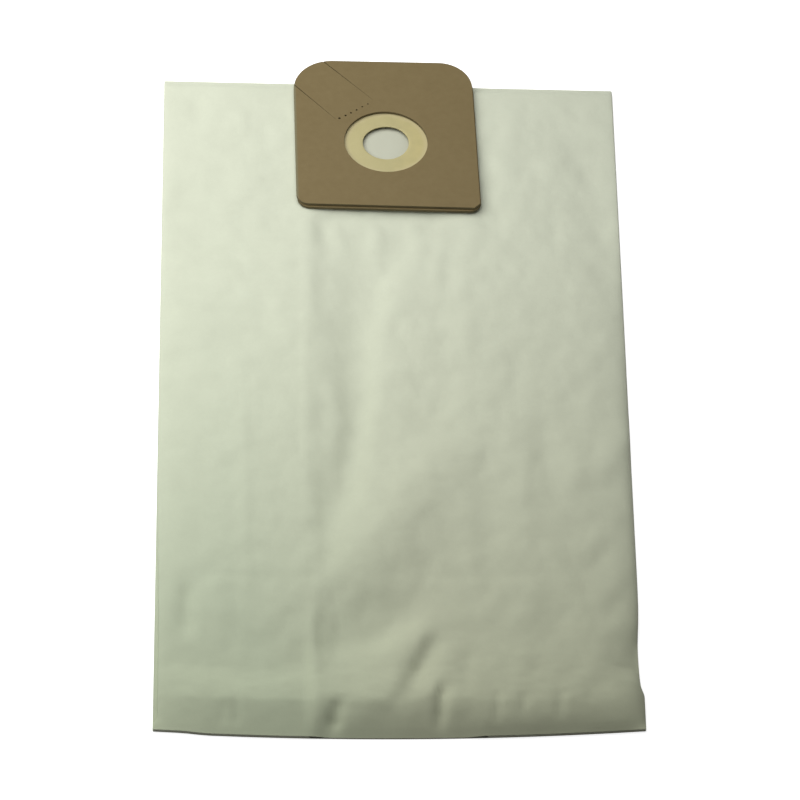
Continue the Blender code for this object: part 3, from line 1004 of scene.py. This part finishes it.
# %% Collar boards
BOARD_WIDTH = 121.0 * MM
BOARD_HEIGHT = 132.5 * MM
BOARD_THICKNESS = 1.8 * MM
BOARD_CENTRE_Y = 220.6 * MM
BACK_BOARD_RIGHT = 0.7 * MM
BACK_BOARD_DOWN = 1.2 * MM
BACK_BOARD_REST = 4.7 * MM
FRONT_BOARD_REST = 6.8 * MM
TOP_LEFT_CORNER = 27.0 * MM
TOP_RIGHT_CORNER = 22.0 * MM
LOW_CORNER = 8.5 * MM
CLIPPED_CORNER = 4.0 * MM
BIG_CORNER_SEGMENTS = 20
LOW_CORNER_SEGMENTS = 8
# How far each side leans to the right, in millimetres, at its top and at its foot
LEFT_LEAN = (-1.2, 1.0)
RIGHT_LEAN = (-2.7, 1.2)
LONGER_ABOVE = 0.5
LONGER_BELOW = 0.8
RIM_SOFTNESS = 0.25 * MM
RIM_ANGLE = math.radians(60)
BOARD_ANGLE = math.radians(20)
MEMBRANE_DIAMETER = 74.0 * MM
MEMBRANE_OPENING = 30.2 * MM
MEMBRANE_THICKNESS = 0.8 * MM
MEMBRANE_REST = 5.7 * MM
SEAT_ROOM = 0.3 * MM
ROUND_POINTS = 96


def apply_place(piece):
    make_active(piece)
    bpy.ops.object.transform_apply(location=True, rotation=True, scale=True)


def shape_corner(piece, centre, side, end, size, segments):
    """Round one corner of a flat plate, or clip it when there is one segment."""
    chosen = []
    for vertex in piece.data.vertices:
        off = vertex.co - centre
        if abs(off.x - side * BOARD_WIDTH / 2) < MM and abs(off.y - end * BOARD_HEIGHT / 2) < MM:
            chosen.append(vertex.index)
    select_only(piece, vertices=chosen)
    bpy.ops.mesh.bevel(offset=size, offset_type="OFFSET", segments=segments, affect="VERTICES")
    edit_mode(False)


def cut_away(piece, cutter):
    modifier = piece.modifiers.new("cut", "BOOLEAN")
    modifier.operation = "DIFFERENCE"
    modifier.solver = "EXACT"
    modifier.object = cutter
    apply_all(piece)
    bpy.data.objects.remove(cutter)


def disc_cutter(x, y, radius, low, high, points):
    deselect_all()
    middle = (x, y, (low + high) / 2)
    bpy.ops.mesh.primitive_cylinder_add(vertices=points, radius=radius, depth=high - low, location=middle)
    cutter = bpy.context.object
    apply_place(cutter)
    return cutter


def lean(board, centre):
    """Move the plate's outline as it was die-cut: its sides lean, and its right side is a little longer."""
    for vertex in board.data.vertices:
        right = (vertex.co.x - centre.x) / BOARD_WIDTH + 0.5
        low = (centre.y - vertex.co.y) / BOARD_HEIGHT + 0.5
        for share, leans in ((1 - right, LEFT_LEAN), (right, RIGHT_LEAN)):
            vertex.co.x += share * (leans[0] + (leans[1] - leans[0]) * low) * MM
        vertex.co.y += right * (LONGER_ABOVE - (LONGER_ABOVE + LONGER_BELOW) * low) * MM


def add_board(name, right, down, rest, clipped):
    """A board with a soft rim and the port in it, its place measured from the front board's."""
    deselect_all()
    centre = Vector((COLLAR_X + right, BOARD_CENTRE_Y - down, rest))
    bpy.ops.mesh.primitive_plane_add(size=1.0, location=centre)
    board = bpy.context.object
    board.name = name
    board.scale = (BOARD_WIDTH, BOARD_HEIGHT, 1.0)
    apply_place(board)
    shape_corner(board, centre, -1, 1, TOP_LEFT_CORNER, BIG_CORNER_SEGMENTS)
    shape_corner(board, centre, 1, 1, TOP_RIGHT_CORNER, BIG_CORNER_SEGMENTS)
    shape_corner(board, centre, -1, -1, LOW_CORNER, LOW_CORNER_SEGMENTS)
    if clipped:
        shape_corner(board, centre, 1, -1, CLIPPED_CORNER, 1)
    else:
        shape_corner(board, centre, 1, -1, LOW_CORNER, LOW_CORNER_SEGMENTS)
    make_active(board)
    edit_mode(True)
    bpy.ops.mesh.select_all(action="SELECT")
    bpy.ops.mesh.extrude_region_move(TRANSFORM_OT_translate={"value": (0.0, 0.0, BOARD_THICKNESS)})
    bpy.ops.mesh.select_all(action="SELECT")
    bpy.ops.mesh.normals_make_consistent(inside=False)
    edit_mode(False)
    lean(board, centre)
    high = rest + 2 * BOARD_THICKNESS
    cut_away(board, disc_cutter(COLLAR_X, PORT_Y, PORT_RADIUS, rest - MM, high, ROUND_POINTS))
    rim = board.modifiers.new("rim", "BEVEL")
    rim.width = RIM_SOFTNESS
    rim.segments = 2
    rim.limit_method = "ANGLE"
    rim.angle_limit = RIM_ANGLE
    apply_all(board)
    return board


def mark_cut_edges(piece):
    """An attribute that is 1 on the faces where the board's cut edge shows its layers."""
    edge = piece.data.attributes.new("cut_edge", "FLOAT", "FACE")
    edge.data.foreach_set("value", [float(abs(face.normal.z) < 0.5) for face in piece.data.polygons])


back_board = add_board("kraft_back_board", BACK_BOARD_RIGHT, BACK_BOARD_DOWN, BACK_BOARD_REST, False)
front_board = add_board("kraft_front_board", 0.0, 0.0, FRONT_BOARD_REST, True)
seat_radius = MEMBRANE_DIAMETER / 2 + SEAT_ROOM
seat_low = MEMBRANE_REST - SEAT_ROOM
seat_high = BACK_BOARD_REST + BOARD_THICKNESS + MM
cut_away(back_board, disc_cutter(COLLAR_X, PORT_Y, seat_radius, seat_low, seat_high, ROUND_POINTS))
print("The boards have", len(back_board.data.polygons), "and", len(front_board.data.polygons), "faces")

# %% [markdown]
# The closing tongue is cut free by two slits that start at the board's rim, and it hangs on a row of
# perforations. The knife went in at the rim, so the slits are widest there and close up inwards. The pins
# pressed harder at the left end of their row, where the holes are bigger.

# %% Tongue
SLITS = (((-46.2, 19.2), (-11.1, -18.1)), ((-65.2, -4.0), (-35.6, -37.4)))
SLIT_WIDE = 0.60 * MM
SLIT_NARROW = 0.12 * MM
TONGUE_DOWN = 0.9 * MM
PIN_HOLES = ((-33.3, -36.3), (-29.2, -33.6), (-25.6, -31.0), (-21.8, -28.2), (-18.0, -25.1), (-14.2, -22.4))
PIN_BIG = 1.7 * MM
PIN_SMALL = 1.1 * MM
PIN_POINTS = 12
board_low = FRONT_BOARD_REST - MM
board_high = FRONT_BOARD_REST + 2 * BOARD_THICKNESS


def slit_cutter(start, end):
    """A long wedge, wide at its start. Places are in millimetres from the middle of the bag's top edge."""
    deselect_all()
    first = Vector((start[0] * MM, bag_top - TONGUE_DOWN + start[1] * MM, board_low))
    last = Vector((end[0] * MM, bag_top - TONGUE_DOWN + end[1] * MM, board_high))
    along = last - first
    turn = math.atan2(along.y, along.x)
    bpy.ops.mesh.primitive_cube_add(size=1.0, location=(first + last) / 2, rotation=(0.0, 0.0, turn))
    cutter = bpy.context.object
    for vertex in cutter.data.vertices:
        vertex.co.y *= SLIT_WIDE if vertex.co.x < 0 else SLIT_NARROW
    cutter.scale = (math.hypot(along.x, along.y), 1.0, along.z)
    apply_place(cutter)
    return cutter


for start, end in SLITS:
    cut_away(front_board, slit_cutter(start, end))
for number, (x, up) in enumerate(PIN_HOLES):
    wide = PIN_BIG + (PIN_SMALL - PIN_BIG) * number / (len(PIN_HOLES) - 1)
    pin_y = bag_top - TONGUE_DOWN + up * MM
    pin = disc_cutter(x * MM, pin_y, wide / 2, board_low, board_high, PIN_POINTS)
    cut_away(front_board, pin)
for board in (back_board, front_board):
    mark_cut_edges(board)
    make_active(board)
    bpy.ops.object.shade_smooth_by_angle(angle=BOARD_ANGLE)
print("The tongue hangs on", len(PIN_HOLES), "perforations")

# %% [markdown]
# Kraft board is pressed from brown pulp. Its face shows faint clouds and short fibres, a few darker than
# the rest, and a lighter strip runs along the left rim. Its cut edge is greyer and shows the layers it is
# pressed from.

# %% Kraft finish
KRAFT_PALE = (0.172, 0.129, 0.055, 1.0)
KRAFT_DEEP = (0.150, 0.110, 0.044, 1.0)
KRAFT_FLECK = (0.095, 0.070, 0.036, 1.0)
KRAFT_EDGE = (0.135, 0.108, 0.052, 1.0)
KRAFT_EDGE_DEEP = (0.080, 0.062, 0.028, 1.0)
KRAFT_LEFT_STRIP = (0.172, 0.158, 0.088, 1.0)
LEFT_STRIP_WIDTH = 1.5 * MM
BOARD_LEFT = COLLAR_X - BOARD_WIDTH / 2
BOARD_LEAN = math.atan2((LEFT_LEAN[1] - LEFT_LEAN[0]) * MM, BOARD_HEIGHT)


def kraft_finish(name, with_left_strip):
    made = Finish(name, {"Specular IOR Level": 0.30})
    place = made.place()
    clouds = made.noise(place, scale=70.0, detail=3.0, roughness=0.6)
    grain = made.noise(made.stretched((260.0, 1300.0, 700.0), math.radians(80)), detail=4.0, roughness=0.65)
    flecks = made.noise(made.stretched((500.0, 1500.0, 900.0), math.radians(35)))
    blotches = made.noise(place, scale=210.0, roughness=0.6)
    face = made.mix(clouds * 0.9 + blotches * 1.1 + grain * 0.7 - 0.85, KRAFT_DEEP, KRAFT_PALE)
    face = made.mix(made.steps(flecks, (0.68, 0.0), (0.78, 0.5)), face, KRAFT_FLECK)
    # a lighter strip along the board's left rim
    if with_left_strip:
        split = made.node("ShaderNodeSeparateXYZ", None, {0: place})
        rim = BOARD_LEFT - math.tan(BOARD_LEAN) * (split["Y"] - BOARD_CENTRE_Y)
        inwards = (split["X"] - rim) / LEFT_STRIP_WIDTH + (grain - 0.5) * 0.8
        face = made.mix(made.steps(inwards, (0.55, 0.85), (1.15, 0.0)), face, KRAFT_LEFT_STRIP)
    layers = made.noise(made.stretched((60.0, 60.0, 2600.0)))
    edge = made.mix(layers * 1.4 - 0.2, KRAFT_EDGE_DEEP, KRAFT_EDGE)
    cut = made.node("ShaderNodeAttribute", {"attribute_name": "cut_edge"})["Fac"]
    made.set("Base Color", made.mix(cut, face, edge))
    made.set("Roughness", 0.62 + 0.16 * grain)
    made.bump(grain + clouds * 0.5 + layers * cut, distance=0.05 * MM, strength=0.8)
    return made.material


for board, node, with_left_strip in ((front_board, "front_board", True), (back_board, "back_board", False)):
    board.data.materials.append(kraft_finish("kraft_" + node, with_left_strip))
    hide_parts(node)
    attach(board, "root")
print("The boards lie from", BACK_BOARD_REST / MM, "to", (FRONT_BOARD_REST + BOARD_THICKNESS) / MM, "mm")

# %% [markdown]
# The membrane is a thin disc of soft rubber. It starts as the circle of its opening, and the circle's edge
# is extruded outwards ring by ring. It rises a little towards the opening, whose lip isn't quite round,
# and Solidify and a Bevel make it a rubber sheet with a rounded lip.

# %% Membrane
MEMBRANE_RINGS = (17.0 * MM, 18.5 * MM, 20.5 * MM, 23.0 * MM, 26.0 * MM, 29.0 * MM, 33.0 * MM, 37.0 * MM)
MEMBRANE_DOME = 0.9 * MM
LIP_UNEVEN = 0.22 * MM
LIP_ROUND = 0.35 * MM


def add_membrane():
    deselect_all()
    centre = Vector((COLLAR_X, PORT_Y, MEMBRANE_REST))
    radius = MEMBRANE_OPENING / 2
    bpy.ops.mesh.primitive_circle_add(vertices=ROUND_POINTS, radius=radius, location=centre)
    membrane = bpy.context.object
    membrane.name = "rubber_membrane"
    apply_place(membrane)
    edit_mode(True)
    bpy.ops.mesh.select_all(action="SELECT")
    for ring in MEMBRANE_RINGS:
        bpy.ops.mesh.extrude_region_move()
        growth = (ring / radius, ring / radius, 1.0)
        bpy.ops.transform.resize(value=growth, center_override=centre)
        radius = ring
    bpy.ops.mesh.select_all(action="SELECT")
    bpy.ops.mesh.normals_make_consistent(inside=False)
    edit_mode(False)
    lip_radius = MEMBRANE_OPENING / 2
    for vertex in membrane.data.vertices:
        off = vertex.co - centre
        angle = math.atan2(off.y, off.x)
        near = 1.0 - stretch(off.length, lip_radius, PORT_RADIUS - lip_radius)
        two_waves = math.sin(2 * angle + 0.6) + 0.6 * math.sin(3 * angle - 1.0)
        uneven = LIP_UNEVEN * near * two_waves
        vertex.co.x += uneven * math.cos(angle)
        vertex.co.y += uneven * math.sin(angle)
        vertex.co.z += MEMBRANE_DOME * near
    sheet = membrane.modifiers.new("thickness", "SOLIDIFY")
    sheet.thickness = MEMBRANE_THICKNESS
    sheet.offset = 1.0 if membrane.data.polygons[0].normal.z > 0 else -1.0
    lip = membrane.modifiers.new("lip", "BEVEL")
    lip.width = LIP_ROUND
    lip.segments = 3
    lip.limit_method = "ANGLE"
    lip.angle_limit = RIM_ANGLE
    apply_all(membrane)
    bpy.ops.object.shade_smooth_by_angle(angle=SOFT_ANGLE)
    return membrane


membrane = add_membrane()
print("The opening in the membrane is", MEMBRANE_OPENING / MM, "mm wide")

# %% [markdown]
# The rubber is cream, with the soft clouds of a moulded sheet. At the right it is warmer and lighter: the
# warmer tint is its own, and the lightness is painted light that evens out the lamp's fall-off there. A
# painted highlight runs along its outer rim. It is smoother than the board, so it takes a faint gloss.

# %% Rubber finish
RUBBER_PALE = (0.440, 0.394, 0.197, 1.0)
RUBBER_DEEP = (0.393, 0.348, 0.164, 1.0)
RUBBER_WARM_PAINTED_LIGHT = (0.505, 0.434, 0.194, 1.0)
RUBBER_RIM_HIGHLIGHT = (0.478, 0.414, 0.228, 1.0)
RUBBER_CENTRE = (COLLAR_X, PORT_Y, MEMBRANE_REST)


def rubber_finish():
    made = Finish("cream_rubber", {"Specular IOR Level": 0.35, "Coat Roughness": 0.45})
    place = made.place()
    clouds = made.noise(place, scale=130.0, detail=3.0, roughness=0.55)
    grit = made.noise(place, scale=900.0, roughness=0.6)
    face = made.mix(clouds * 1.2 + grit * 0.3 - 0.3, RUBBER_DEEP, RUBBER_PALE)
    across = made.node("ShaderNodeSeparateXYZ", None, {0: place})["X"]
    # partly the rubber's own warmer tint and partly painted light: lighter at the right, against the lamp's
    # fall-off
    warm_painted_light_share = (across - COLLAR_X) / PORT_RADIUS + (clouds - 0.5) * 0.8
    face = made.mix(made.steps(warm_painted_light_share, (0.15, 0.0), (0.9, 0.7)), face, RUBBER_WARM_PAINTED_LIGHT)
    from_centre = {0: place, 1: RUBBER_CENTRE}
    away = made.node("ShaderNodeVectorMath", {"operation": "DISTANCE"}, from_centre)["Value"]
    # painted highlight: a paler ring along the outer rim, standing in for light on a raised rim
    rim = away / PORT_RADIUS + (clouds - 0.5) * 0.10
    face = made.mix(made.steps(rim, (0.86, 0.0), (0.97, 0.75)), face, RUBBER_RIM_HIGHLIGHT)
    made.set("Base Color", face)
    made.set("Roughness", 0.50 + 0.12 * clouds)
    made.set("Coat Weight", 0.06 * grit)
    made.bump(clouds * 0.8 + grit * 0.2, distance=0.08 * MM, strength=0.7)
    return made.material


membrane.data.materials.append(rubber_finish())
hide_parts("sealing_membrane")
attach(membrane, "root")
print("The membrane has", len(membrane.data.polygons), "faces")

# %% Update the scene
bpy.context.view_layer.update()
